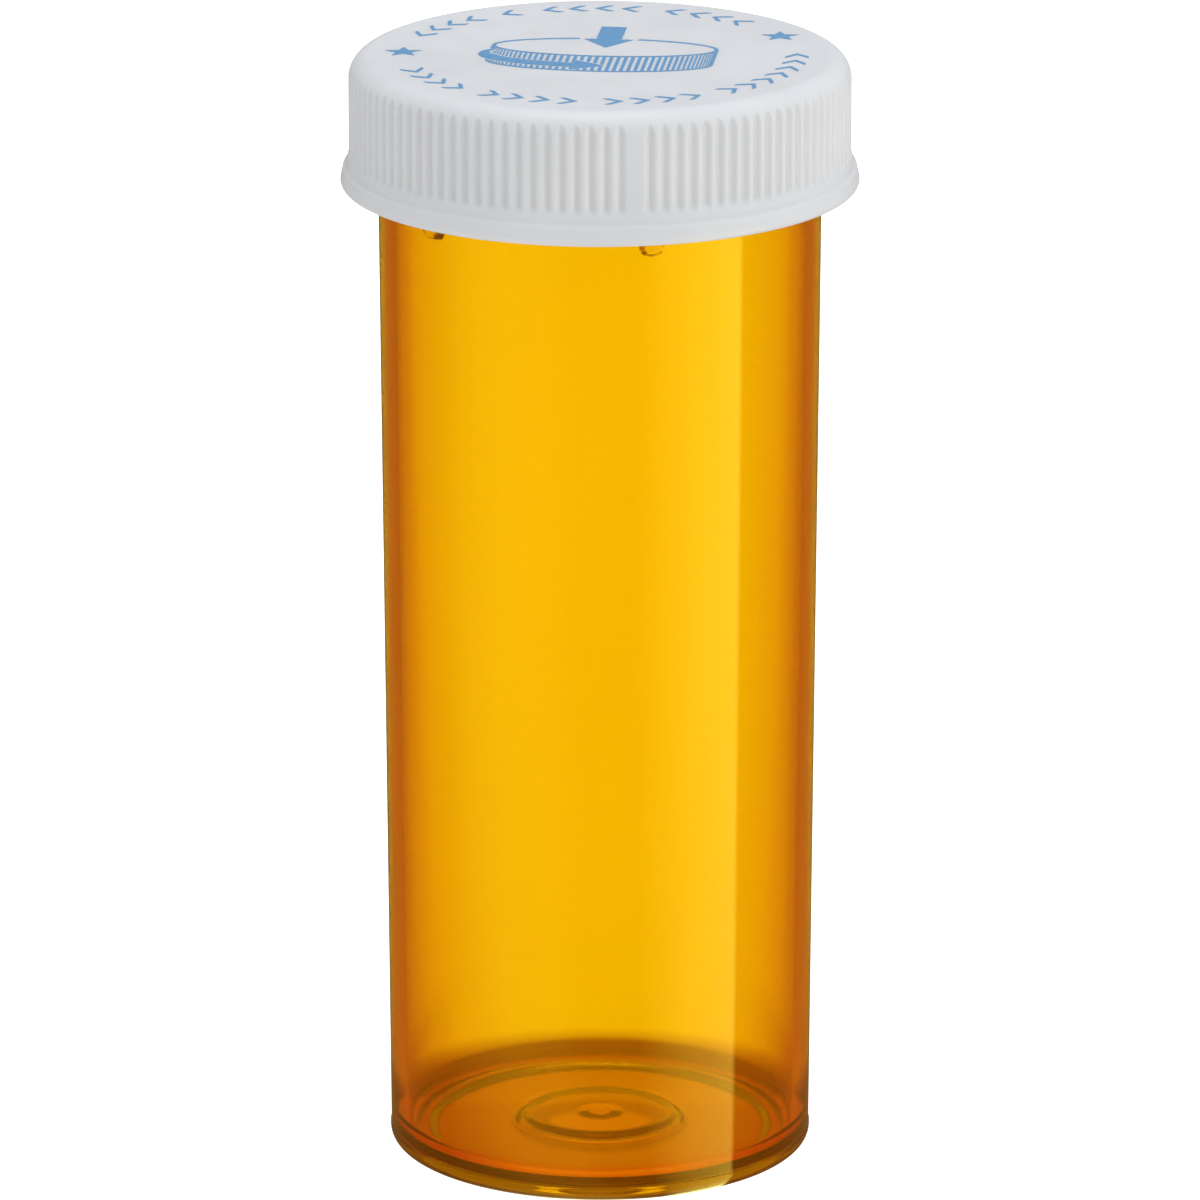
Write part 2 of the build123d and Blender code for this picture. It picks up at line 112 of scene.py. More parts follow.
low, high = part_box("cap_shell")
CAP_BOTTOM = low[2] / MM
CAP_TOP = high[2] / MM
FLANGE_RADIUS = high[0] / MM
CAP_INNER_RADIUS = 17.6
CAP_CEILING = CAP_TOP - 1.2
CAP_EDGE_ROUND = 1.7
CEILING_CORNER = 0.5
LIP_ROUND = 0.12
FLANGE_ROUND = 0.45
FLANGE_FACE = ((0.07, 0.85), (0.13, 1.05))   # in from the flange's radius, up from its foot
FLANGE_SHOULDER = (0.65, 1.2)
FLANGE_SHOULDER_ROUND = 0.5
FLARE_FOOT = (0.44, 1.78)
FLUTE_COUNT = 108
FLUTE_CREST_RADIUS = 18.86
FLUTE_DEPTH = 0.25
FLUTE_HALF_WIDTH = 0.48
PLAIN_LAND_ANGLE = 7.9
FLARE_TOP = 78.2
FLARE_BLEND = (77.7, 78.5)   # the flutes run out between these heights
OUTSIDE_MARGIN = 0.6         # further out than this from the inner wall is the cap's outside
BEAD_ROWS = (81.5, 80.5)     # fine rows on the inner wall for the beads
LUG_ROWS_TOP = 77.6          # and from here down for the lugs
LIP_START = 0.15             # where those rows end, above the cap's lower edge
FLARE_ROWS = 0.6             # fine rows go on this far above the flare
HUB_RING = (4.9, 5.6, 0.7)   # inner radius, outer radius, depth
HUB_RING_ROUND = 0.3
HUB_RING_ENDS = (0.1, 0.35)  # how far above its tip its inner and outer sides end

GAP = 0.1                    # from the end of a curve, or the axis, to the next run's first row
CAP_GAP = 0.2                # the same in the cap's outline
TOP_GAP = 0.3                # the same on the cap's flat top
EDGE_ROW = 0.05              # a row this far from an edge keeps it crisp
ON_WALL = 0.01               # a point nearer to a wall than this is on it
CURVE_STEPS = 8

VIAL_SEGMENTS = 720
CAP_SEGMENTS = FLUTE_COUNT * 12


# ---- looks -------------------------------------------------------------------------------

AMBER_TINT = (1.0, 0.825, 0.01)
AMBER_PASS = (0.955, 0.925, 0.0)
AMBER_DENSITY = 2000
AMBER_HAZE = (0.95, 0.26, 0.0)
AMBER_HAZE_SHARE = 0.10
AMBER_IOR = 1.47
AMBER_SHINE = (1.0, 0.78, 0.14)
AMBER_ROUGHNESS = (0.025, 0.07)
AMBER_CLOUD = 0.97           # how much darker the tint's faint clouds are
CAP_COLOUR = (0.745, 0.75, 0.765)
CAP_CLOUD = 0.955
CAP_ROUGHNESS = (0.36, 0.52)
CAP_SPECULAR = 0.35
CAP_SCATTER = (0.35, (1.0, 0.9, 0.8), 0.9)      # weight, radius by colour, and its scale in mm
LINER_COLOURS = ((0.83, 0.83, 0.80), (0.76, 0.765, 0.74))
LINER_ROUGHNESS = (0.30, 0.45)
LINER_SCATTER = (0.5, (1.0, 1.0, 0.9), 1.5)
INK_COLOUR = (0.10, 0.32, 0.60)
INK_WEAR = (0.86, 0.10)      # where the ink is thin: its colour times the first, plus the second
INK_COVER = (0.35, 0.75)
INK_ROUGHNESS = (0.34, 0.50)
WHITE = (1.0, 1.0, 1.0)
BLACK = (0.0, 0.0, 0.0)
FLOOR_REACH = 4.0            # m
FLOOR_ROUGHNESS = 0.9
FLOOR_COLOUR = (0.40, 0.40, 0.40)
FLOOR_GLOW = 1.16            # as the camera sees it, also through the vial
FLOOR_FILL = 0.36            # as it lights the object
TABLE_GAP = 0.02             # mm; light leaves the foot before it meets the table
# Painted shade on the table, seen only through the vial: it darkens to brown towards the sides, to
# give the clear plastic dark edges.
SIDE_START = 40              # mm in front of the axis
SIDE_FADE = (-38, -8)        # mm along Y, over which the dark sides fade in
PAINTED_SIDE_SHADE = [
    (0, WHITE), (0.11, WHITE), (0.20, (1.0, 0.86, 0.70)),
    (0.38, (0.62, 0.19, 0.03)), (0.8, (0.40, 0.11, 0.02)),
]
# Painted light and shadow on the table, seen only through the vial: a pool of amber light under it
# and a dark shadow round its foot at the back.
SHADE_REACH = 30             # mm from the vial's axis
SHADE_LINE = (4.6, 5.8)      # mm behind the axis, where the amber light falls off
PAINTED_DIMPLE_LIGHT = [
    (0, (0.86, 0.37, 0.0)), (3.9, (0.84, 0.36, 0.0)), (4.7, (0.44, 0.15, 0.0)),
    (6.0, (0.46, 0.16, 0.0)),
]
PAINTED_FRONT_LIGHT = [
    (6.9, (0.66, 0.25, 0.0)), (11.5, (0.62, 0.20, 0.0)), (12.8, (0.70, 0.15, 0.0)),
    (15.4, (0.95, 0.30, 0.0)), (19, (1.0, 0.60, 0.05)), (29, (1.0, 0.92, 0.8)),
]
PAINTED_BACK_LIGHT_AND_SHADOW = [
    (6.9, (0.80, 0.37, 0.0)), (12.6, (0.72, 0.30, 0.0)), (13.4, (0.62, 0.22, 0.0)),
    (15.6, (0.62, 0.17, 0.0)), (16.6, (0.20, 0.08, 0.01)), (20.5, (0.22, 0.09, 0.02)),
    (23.0, (0.60, 0.45, 0.3)), (25.5, (1.0, 0.95, 0.9)),
]
# Painted reflection: for glossy rays the table glows in bands by angle round the vial, in place of
# a room's lights.
PAINTED_REFLECTION_PEAK = 5.5
PAINTED_REFLECTION_TINT = (1.0, 0.95, 0.32)
DIAL_CENTRE = (3.8, -11.4)   # mm; the virtual image's line, so that its edge stays upright
PAINTED_REFLECTION_BANDS = (
    (-90, 0.025), (-78, 0.08), (-55, 0.21), (-30, 0.18), (-12, 0.06), (18, 0.06),
    (50, 0.68), (78, 1.0), (79.5, 0.03), (110, 0.02), (250, 0.02), (270, 0.025),
)
HORIZON_COLOUR = (1.0, 1.0, 1.0)
ZENITH_COLOUR = (0.66, 0.69, 0.73)
SKY_UP = (0.12, 0.75)        # from the horizon's colour to the zenith's, as the ray's Z
SKY_ACROSS = (-0.9, 0.9)     # from the left share to the right share, as the ray's X
LEFT_SHARE = 0.65
RIGHT_SHARE = 0.88
SKY_GLOSS = 0.35
CAMERA_LENS = 318.3          # mm
CAMERA_SENSOR = 36
CAMERA_SPOT = (0, -0.77272, 0.27316)
CAMERA_LOOKS_DOWN = 16.595


# ---- mesh helpers ------------------------------------------------------------------------

def arc(centre, radius, start, end, steps):
    """Points (r, z) of an arc in the profile plane, in degrees from outwards, up positive."""
    angles = [radians(start + (end - start) * k / steps) for k in range(steps + 1)]
    return [(centre[0] + radius * cos(a), centre[1] + radius * sin(a)) for a in angles]


def run(start, end, step):
    """Points (r, z) of a straight run, at most step apart, without its last point."""
    count = max(1, ceil(hypot(end[0] - start[0], end[1] - start[1]) / step))
    return [
        (start[0] + (end[0] - start[0]) * k / count, start[1] + (end[1] - start[1]) * k / count)
        for k in range(count)
    ]


def lathe(name, rows, segments, shape, sharp=35):
    """A closed mesh turned from rows (r, z), first and last on the axis.

    shape(r, z, angle) gives each point's radius, so lugs and flutes are part of the surface.
    """
    inner_rows = rows[1:-1]
    verts = [(0, 0, rows[0][1] * MM)]
    for r, z in inner_rows:
        for k in range(segments):
            angle = 360 * k / segments
            radius = shape(r, z, angle)
            a = radians(angle)
            verts.append((radius * sin(a) * MM, -radius * cos(a) * MM, z * MM))
    verts.append((0, 0, rows[-1][1] * MM))
    last = len(verts) - 1
    faces = []
    for k in range(segments):
        faces.append((0, 1 + (k + 1) % segments, 1 + k))
    for j in range(len(inner_rows) - 1):
        a0 = 1 + j * segments
        b0 = a0 + segments
        for k in range(segments):
            n = (k + 1) % segments
            faces.append((a0 + k, a0 + n, b0 + n, b0 + k))
    c0 = 1 + (len(inner_rows) - 1) * segments
    for k in range(segments):
        faces.append((c0 + k, c0 + (k + 1) % segments, last))
    mesh = bpy.data.meshes.new(name)
    mesh.from_pydata(verts, [], faces)
    mesh.validate()
    mesh.shade_smooth()
    mesh.set_sharp_from_angle(angle=radians(sharp))
    obj = bpy.data.objects.new(name, mesh)
    bpy.context.scene.collection.objects.link(obj)
    return obj


def smooth_step(value, low_edge, high_edge):
    """0 below the low edge, 1 above the high edge, and smooth between."""
    t = min(1, max(0, (value - low_edge) / (high_edge - low_edge)))
    return t * t * (3 - 2 * t)


def wrap(angle, period):
    """angle moved by whole periods to within half a period of zero."""
    return (angle + period / 2) % period - period / 2


def block_distance(x, y, half_x, half_y, corner):
    """How far (x, y) is outside a rounded rectangle about the origin; negative inside."""
    dx = abs(x) - half_x + corner
    dy = abs(y) - half_y + corner
    return hypot(max(dx, 0), max(dy, 0)) + min(max(dx, dy), 0) - corner


# ---- the vial ----------------------------------------------------------------------------

def neck_lug_height(angle, z):
    """How much of the lugs' full height there is at this place on the neck, 0 to 1."""
    scale = radians(1) * NECK_LUG_RADIUS
    side = wrap(angle - STOP_ANGLE, LUG_PITCH)
    post_half = (BAR_TOP - STOP_BOTTOM) / 2
    post = block_distance(
        side * scale, z - STOP_BOTTOM - post_half, STOP_WIDTH / 2, post_half, STOP_ROUND
    )
    bar_end = HOOK_ANGLES[1] - STOP_ANGLE
    bar_half = (bar_end * scale + STOP_WIDTH / 2) / 2
    along = ((angle - STOP_ANGLE + LUG_LEAD) % LUG_PITCH - LUG_LEAD) * scale
    bar = block_distance(
        along - bar_half + STOP_WIDTH / 2,
        z - (BAR_BOTTOM + BAR_TOP) / 2,
        bar_half,
        (BAR_TOP - BAR_BOTTOM) / 2,
        BAR_ROUND,
    )
    hook_half = (HOOK_ANGLES[1] - HOOK_ANGLES[0]) / 2 * scale
    hook = block_distance(
        along - bar_end * scale + hook_half, z - BAR_BOTTOM, hook_half, HOOK_DEPTH, HOOK_ROUND
    )
    return 1 - smooth_step(min(post, bar, hook), -LUG_SOFT, LUG_SOFT)


def vial_radius(r, z, angle):
    """The vial's outside carries the lugs; every other surface is round."""
    beside_lugs = STOP_BOTTOM - LUG_MARGIN < z < BAR_TOP + LUG_MARGIN
    if r < NECK_RADIUS - ON_WALL or not beside_lugs:
        return r
    return r + (NECK_LUG_RADIUS - r) * neck_lug_height(angle, z)


def dimple_rows(base):
    """Points (r, z) of the raised middle, from its edge to the axis: a slope, then a dome."""
    dome = DIMPLE_RADIUS - DIMPLE_SLOPE
    shoulder = base + DIMPLE_STEP
    rows = run((DIMPLE_RADIUS, base), (dome + GAP, shoulder), step=0.2)
    for k in range(CURVE_STEPS + 1):
        r = dome * (1 - k / CURVE_STEPS)
        rows.append((r, shoulder + (DIMPLE_RISE - DIMPLE_STEP) * (1 - (r / dome) ** 2)))
    return rows


def make_vial():
    """The amber tube, outlined from the middle of its underside, up the outside and down inside."""
    gate_bottom = FLOOR_BOTTOM + DIMPLE_RISE - GATE_HEIGHT
    rows = [(0, gate_bottom)]
    rows += run((GAP, gate_bottom), (GATE_RADIUS - GATE_ROUND, gate_bottom), step=0.3)
    rows += arc((GATE_RADIUS - GATE_ROUND, gate_bottom + GATE_ROUND), GATE_ROUND, -90, 0, 4)
    rows += [row for row in reversed(dimple_rows(FLOOR_BOTTOM)) if row[0] > GATE_RADIUS]
    rows += run((DIMPLE_RADIUS + GAP, FLOOR_BOTTOM), (FOOT_RING_START, FLOOR_BOTTOM), step=1)
    for k in range(CURVE_STEPS + 1):
        r = FOOT_RING_START + FOOT_RING_SLOPE * k / CURVE_STEPS
        rows.append((r, FLOOR_BOTTOM * (1 - smooth_step(k, 0, CURVE_STEPS))))
    rows += arc((FOOT_RADIUS - HEEL_ROUND, HEEL_ROUND), HEEL_ROUND, -90, 0, 12)
    rows += [
        (FOOT_RADIUS, PARTING_HEIGHT),
        (FOOT_RADIUS - PARTING_STEP, PARTING_HEIGHT + PARTING_STEP / 2),
    ]
    rows += run(
        (FOOT_RADIUS - PARTING_STEP, PARTING_HEIGHT + PARTING_STEP),
        (NECK_RADIUS, SHOULDER_HEIGHT),
        step=4,
    )
    lug_rows_top = BAR_TOP + LUG_MARGIN
    rim_start = RIM_HEIGHT - RIM_ROUND
    rows += run((NECK_RADIUS, SHOULDER_HEIGHT), (NECK_RADIUS, lug_rows_top), step=0.12)
    rows += run((NECK_RADIUS, lug_rows_top), (NECK_RADIUS, rim_start), step=0.8)
    rows += arc((NECK_RADIUS - RIM_ROUND, rim_start), RIM_ROUND, 0, 90, 6)
    rows += arc((INNER_NECK_RADIUS + RIM_ROUND, rim_start), RIM_ROUND, 90, 180, 6)
    rows += run(
        (INNER_NECK_RADIUS, rim_start - GAP),
        (INNER_FOOT_RADIUS, FLOOR_TOP + CORNER_ROUND),
        step=4,
    )
    corner = INNER_FOOT_RADIUS - CORNER_ROUND
    rows += arc((corner, FLOOR_TOP + CORNER_ROUND), CORNER_ROUND, 0, -90, 12)
    rows += run((corner - GAP, FLOOR_TOP), (DIMPLE_RADIUS, FLOOR_TOP), step=1)
    rows += dimple_rows(FLOOR_TOP)
    return lathe("vial_clear", rows, VIAL_SEGMENTS, vial_radius)


# ---- the cap -----------------------------------------------------------------------------

def flute_cut(angle):
    """How deep the flutes are at this angle, 0 on a land to 1 in a groove's middle."""
    step = 360 / FLUTE_COUNT
    from_line = wrap(angle - PLAIN_LAND_ANGLE, step)
    if abs(wrap(angle - PLAIN_LAND_ANGLE, 360)) < step / 2:
        return 0
    gap = abs(from_line) * radians(1) * FLUTE_CREST_RADIUS
    if gap > FLUTE_HALF_WIDTH:
        return 0
    return 0.5 + 0.5 * cos(pi * gap / FLUTE_HALF_WIDTH)


def pad_height(angle, z, half_angle, heights, corner):
    """How much of a lug's or bead's full height there is here on the inner wall, 0 to 1."""
    scale = radians(1) * CAP_INNER_RADIUS
    side = wrap(angle, LUG_PITCH)
    middle = sum(heights) / 2
    half = (heights[1] - heights[0]) / 2
    outside = block_distance(side * scale, z - middle, half_angle * scale, half, corner)
    return 1 - smooth_step(outside, -LUG_SOFT, LUG_SOFT)


def cap_radius(r, z, angle):
    """Flutes on the outside, and lugs and beads on the inner wall."""
    if r > CAP_INNER_RADIUS + OUTSIDE_MARGIN and z > FLARE_BLEND[0]:
        cut = FLUTE_DEPTH * flute_cut(angle) * smooth_step(z, *FLARE_BLEND)
        if z < FLARE_TOP:
            return r - cut
        return min(r, FLUTE_CREST_RADIUS - cut)
    if abs(r - CAP_INNER_RADIUS) < ON_WALL:
        lug = pad_height(angle - CAP_LUG_ANGLE, z, CAP_LUG_HALF, CAP_LUG_HEIGHTS, CAP_LUG_ROUND)
        r -= (r - CAP_LUG_RADIUS) * lug
        bead = pad_height(angle - BEAD_ANGLE, z, BEAD_HALF, BEAD_HEIGHTS, BEAD_ROUND)
        r -= (r - BEAD_RADIUS) * bead
    return r


def hub_ring_rows():
    """Points (r, z) of the ring under the ceiling that centres the liner's hub."""
    inner, outer, depth = HUB_RING
    tip = CAP_CEILING - depth
    inner_end, outer_end = HUB_RING_ENDS
    rows = [(inner, CAP_CEILING - EDGE_ROW), (inner, tip + inner_end)]
    rows += arc(((inner + outer) / 2, tip + HUB_RING_ROUND), HUB_RING_ROUND, 200, 340, 6)
    return rows + [(outer, tip + outer_end), (outer, CAP_CEILING)]


def make_cap():
    """The white cap, outlined from the middle of its ceiling, down inside and up the outside."""
    wall = CAP_INNER_RADIUS
    rows = [(0, CAP_CEILING)]
    rows += run((CAP_GAP, CAP_CEILING), (HUB_RING[0], CAP_CEILING), step=1.2)
    rows += hub_ring_rows()
    rows += run(
        (HUB_RING[1] + CAP_GAP, CAP_CEILING), (wall - CEILING_CORNER, CAP_CEILING), step=2
    )
    corner_height = CAP_CEILING - CEILING_CORNER
    rows += arc((wall - CEILING_CORNER, corner_height), CEILING_CORNER, 90, 10, 6)
    rows += run((wall, corner_height - GAP), (wall, BEAD_ROWS[0]), step=0.6)
    rows += run((wall, BEAD_ROWS[0]), (wall, BEAD_ROWS[1]), step=0.1)
    rows += run((wall, BEAD_ROWS[1]), (wall, LUG_ROWS_TOP), step=0.5)
    rows += run((wall, LUG_ROWS_TOP), (wall, CAP_BOTTOM + LIP_START), step=0.1)
    rows += arc((wall + LIP_ROUND, CAP_BOTTOM + LIP_ROUND), LIP_ROUND, 180, 270, 3)
    flange = FLANGE_RADIUS - FLANGE_ROUND
    rows += run((wall + CAP_GAP, CAP_BOTTOM), (flange, CAP_BOTTOM), step=0.4)
    rows += arc((flange, CAP_BOTTOM + FLANGE_ROUND), FLANGE_ROUND, -90, 10, 8)
    rows += [(FLANGE_RADIUS - inward, CAP_BOTTOM + up) for inward, up in FLANGE_FACE]
    inward, up = FLANGE_SHOULDER
    rows += arc((FLANGE_RADIUS - inward, CAP_BOTTOM + up), FLANGE_SHOULDER_ROUND, 0, 60, 6)
    inward, up = FLARE_FOOT
    reach = FLUTE_CREST_RADIUS
    rows += run((FLANGE_RADIUS - inward, CAP_BOTTOM + up), (reach, FLARE_TOP), step=0.1)
    rows += run((reach, FLARE_TOP), (reach, FLARE_TOP + FLARE_ROWS), step=0.1)
    edge = (reach - CAP_EDGE_ROUND, CAP_TOP - CAP_EDGE_ROUND)
    rows += run((reach, FLARE_TOP + FLARE_ROWS), (reach, edge[1]), step=0.5)
    rows += arc(edge, CAP_EDGE_ROUND, 0, 90, 28)
    rows += run((edge[0] - TOP_GAP, CAP_TOP), (CAP_GAP, CAP_TOP), step=1.5)
    rows.append((0, CAP_TOP))
    return lathe("cap_fluted", rows, CAP_SEGMENTS, cap_radius, sharp=50)


def make_web(node):
    """The liner's web as its own mesh, copied from its CAD solid."""
    obj = bpy.data.objects.new("liner_spring_web", node.data.copy())
    bpy.context.scene.collection.objects.link(obj)
    return obj


# ---- materials ---------------------------------------------------------------------------

def new_material(name):
    """A new material, with its nodes, its links and its Principled shader."""
    mat = bpy.data.materials.new(name)
    mat.use_nodes = True
    nodes = mat.node_tree.nodes
    return mat, nodes, mat.node_tree.links, nodes["Principled BSDF"]


def stretched_noise(nodes, links, scale, detail, stretch=(1, 1, 1)):
    """A noise texture on the object's own coordinates, stretched along an axis."""
    place = nodes.new("ShaderNodeTexCoord")
    mapping = nodes.new("ShaderNodeMapping")
    mapping.inputs["Scale"].default_value = stretch
    noise = nodes.new("ShaderNodeTexNoise")
    noise.inputs["Scale"].default_value = scale
    noise.inputs["Detail"].default_value = detail
    links.new(place.outputs["Object"], mapping.inputs["Vector"])
    links.new(mapping.outputs["Vector"], noise.inputs["Vector"])
    return noise


def spread(nodes, links, source, low_value, high_value, start=0.3, end=0.7):
    """A value from start to end, by default a noise's middle range, spread over two others."""
    ramp = nodes.new("ShaderNodeMapRange")
    ramp.inputs["From Min"].default_value = start
    ramp.inputs["From Max"].default_value = end
    ramp.inputs["To Min"].default_value = low_value
    ramp.inputs["To Max"].default_value = high_value
    links.new(source, ramp.inputs["Value"])
    return ramp.outputs["Result"]


def add_bump(nodes, links, shader, layers):
    """Stacks bumps on a shader: each layer is (height socket, strength, distance in mm)."""
    normal = None
    for height, strength, distance in layers:
        bump = nodes.new("ShaderNodeBump")
        bump.inputs["Strength"].default_value = strength
        bump.inputs["Distance"].default_value = distance * MM
        links.new(height, bump.inputs["Height"])
        if normal:
            links.new(normal, bump.inputs["Normal"])
        normal = bump.outputs["Normal"]
    links.new(normal, shader.inputs["Normal"])


def blend_colours(nodes, links, factor, first, second):
    """A colour that goes from the first to the second with the factor."""
    mix = nodes.new("ShaderNodeMix")
    mix.data_type = "RGBA"
    mix.inputs["A"].default_value = (*first, 1)
    mix.inputs["B"].default_value = (*second, 1)
    links.new(factor, mix.inputs["Factor"])
    return mix.outputs["Result"]


def set_scatter(shader, weight, radius, scale):
    """Light scattered under the surface, with the scale in mm."""
    shader.inputs["Subsurface Weight"].default_value = weight
    shader.inputs["Subsurface Radius"].default_value = radius
    shader.inputs["Subsurface Scale"].default_value = scale * MM


def amber_plastic():
    """Clear amber polypropylene: tinted, with a little haze, darker where light runs along it."""
    mat, nodes, links, shader = new_material("amber_plastic")
    shader.inputs["Transmission Weight"].default_value = 1.0
    shader.inputs["IOR"].default_value = AMBER_IOR
    shader.inputs["Specular Tint"].default_value = (*AMBER_SHINE, 1)
    cloud = stretched_noise(nodes, links, scale=60, detail=3, stretch=(1, 1, 0.35))
    tint = blend_colours(
        nodes, links, spread(nodes, links, cloud.outputs["Fac"], 0, 1),
        AMBER_TINT, tuple(c * AMBER_CLOUD for c in AMBER_TINT),
    )
    links.new(tint, shader.inputs["Base Color"])
    smears = stretched_noise(nodes, links, scale=350, detail=4)
    rough = spread(nodes, links, smears.outputs["Fac"], *AMBER_ROUGHNESS)
    links.new(rough, shader.inputs["Roughness"])
    flow = stretched_noise(nodes, links, scale=700, detail=2, stretch=(1, 1, 0.02))
    ripple = stretched_noise(nodes, links, scale=120, detail=2, stretch=(1, 1, 0.3))
    add_bump(nodes, links, shader, [
        (flow.outputs["Fac"], 0.35, 0.012),
        (ripple.outputs["Fac"], 0.4, 0.03),
    ])
    absorption = nodes.new("ShaderNodeVolumeAbsorption")
    absorption.inputs["Color"].default_value = (*AMBER_PASS, 1)
    absorption.inputs["Density"].default_value = AMBER_DENSITY
    output = nodes["Material Output"]
    links.new(absorption.outputs["Volume"], output.inputs["Volume"])
    haze = nodes.new("ShaderNodeBsdfDiffuse")
    haze.inputs["Color"].default_value = (*AMBER_HAZE, 1)
    mix = nodes.new("ShaderNodeMixShader")
    mix.inputs["Fac"].default_value = AMBER_HAZE_SHARE
    links.new(shader.outputs["BSDF"], mix.inputs[1])
    links.new(haze.outputs["BSDF"], mix.inputs[2])
    links.new(mix.outputs["Shader"], output.inputs["Surface"])
    return mat


def white_plastic():
    """White polypropylene: satin, with a fine moulded grain and faint handling marks."""
    mat, nodes, links, shader = new_material("white_polypropylene")
    patches = stretched_noise(nodes, links, scale=90, detail=4)
    colour = blend_colours(
        nodes, links, spread(nodes, links, patches.outputs["Fac"], 0, 1),
        CAP_COLOUR, tuple(c * CAP_CLOUD for c in CAP_COLOUR),
    )
    links.new(colour, shader.inputs["Base Color"])
    grain = stretched_noise(nodes, links, scale=4200, detail=3)
    wear = stretched_noise(nodes, links, scale=260, detail=5)
    rough = spread(nodes, links, wear.outputs["Fac"], *CAP_ROUGHNESS)
    links.new(rough, shader.inputs["Roughness"])
    shader.inputs["Specular IOR Level"].default_value = CAP_SPECULAR
    set_scatter(shader, *CAP_SCATTER)
    add_bump(nodes, links, shader, [
        (grain.outputs["Fac"], 0.25, 0.012),
        (wear.outputs["Fac"], 0.3, 0.03),
    ])
    return mat


def milky_plastic():
    """Natural polyethylene: waxy and a little see-through."""
    mat, nodes, links, shader = new_material("milky_polyethylene")
    cloud = stretched_noise(nodes, links, scale=150, detail=3)
    cover = spread(nodes, links, cloud.outputs["Fac"], 0, 1)
    links.new(blend_colours(nodes, links, cover, *LINER_COLOURS), shader.inputs["Base Color"])
    rough = spread(nodes, links, cloud.outputs["Fac"], *LINER_ROUGHNESS)
    links.new(rough, shader.inputs["Roughness"])
    set_scatter(shader, *LINER_SCATTER)
    fine = stretched_noise(nodes, links, scale=2600, detail=2)
    add_bump(nodes, links, shader, [(fine.outputs["Fac"], 0.3, 0.01)])
    return mat


def blue_ink():
    """Printed blue ink, slightly uneven in cover and a little glossier than the cap."""
    mat, nodes, links, shader = new_material("blue_ink")
    cover = stretched_noise(nodes, links, scale=2200, detail=4)
    kept, lift = INK_WEAR
    colour = blend_colours(
        nodes, links, spread(nodes, links, cover.outputs["Fac"], 0, 1, *INK_COVER),
        INK_COLOUR, tuple(kept * c + lift for c in INK_COLOUR),
    )
    links.new(colour, shader.inputs["Base Color"])
    rough = spread(nodes, links, cover.outputs["Fac"], *INK_ROUGHNESS)
    links.new(rough, shader.inputs["Roughness"])
    add_bump(nodes, links, shader, [(cover.outputs["Fac"], 0.3, 0.006)])
    return mat


def paint(obj, mat):
    """Puts one material on an object."""
    obj.data.materials.clear()
    obj.data.materials.append(mat)


# ---- the studio --------------------------------------------------------------------------

def ray_kind(nodes, kind):
    """1 for rays of this kind, such as "Is Glossy Ray", and 0 for others."""
    return nodes.new("ShaderNodeLightPath").outputs[kind]


def product(nodes, links, first, second):
    """Two values multiplied."""
    times = nodes.new("ShaderNodeMath")
    times.operation = "MULTIPLY"
    links.new(first, times.inputs[0])
    links.new(second, times.inputs[1])
    return times.outputs["Value"]


def tinted(nodes, links, first, second):
    """Two colours multiplied."""
    times = nodes.new("ShaderNodeMix")
    times.data_type = "RGBA"
    times.blend_type = "MULTIPLY"
    times.inputs["Factor"].default_value = 1
    links.new(first, times.inputs["A"])
    links.new(second, times.inputs["B"])
    return times.outputs["Result"]


def plain(nodes, colour):
    """One colour, as a socket."""
    source = nodes.new("ShaderNodeRGB")
    source.outputs["Color"].default_value = (*colour, 1)
    return source.outputs["Color"]


def colour_steps(nodes, links, source, steps):
    """Colours along a value from 0 to 1, given as (value, colour) steps with blends between."""
    ramp = nodes.new("ShaderNodeValToRGB")
    stops = ramp.color_ramp.elements
    while len(stops) > 1:
        stops.remove(stops[-1])
    for k, (place, colour) in enumerate(steps):
        stop = stops[0] if k == 0 else stops.new(place)
        stop.position = place
        stop.color = (*colour, 1)
    links.new(source, ramp.inputs["Fac"])
    return ramp.outputs["Color"]


def choose(nodes, links, factor, first, second):
    """The first colour where the factor is 0, the second where it is 1."""
    mix = nodes.new("ShaderNodeMix")
    mix.data_type = "RGBA"
    links.new(factor, mix.inputs["Factor"])
    links.new(first, mix.inputs["A"])
    links.new(second, mix.inputs["B"])
    return mix.outputs["Result"]


def painted_reflection_dial(nodes, links):
    """Painted reflection: how bright the table glows by angle from the front, as glossy rays see
    it, in place of a room's lights.
    """
    place = nodes.new("ShaderNodeTexCoord")
    centre = nodes.new("ShaderNodeMapping")
    centre.inputs["Location"].default_value = (-DIAL_CENTRE[0] * MM, -DIAL_CENTRE[1] * MM, 0)
    dial = nodes.new("ShaderNodeTexGradient")
    dial.gradient_type = "RADIAL"
    links.new(place.outputs["Object"], centre.inputs["Vector"])
    links.new(centre.outputs["Vector"], dial.inputs["Vector"])
    steps = [
        ((angle + 90) / 360, tuple(light * c for c in PAINTED_REFLECTION_TINT)) for angle, light in PAINTED_REFLECTION_BANDS
    ]
    return colour_steps(nodes, links, dial.outputs["Fac"], steps)


def reflected(nodes, links):
    """1 for rays that come off a glossy surface, and 0 for those that came through it."""
    less = nodes.new("ShaderNodeMath")
    less.operation = "SUBTRACT"
    less.use_clamp = True
    links.new(ray_kind(nodes, "Is Glossy Ray"), less.inputs[0])
    links.new(ray_kind(nodes, "Is Transmission Ray"), less.inputs[1])
    return less.outputs["Value"]


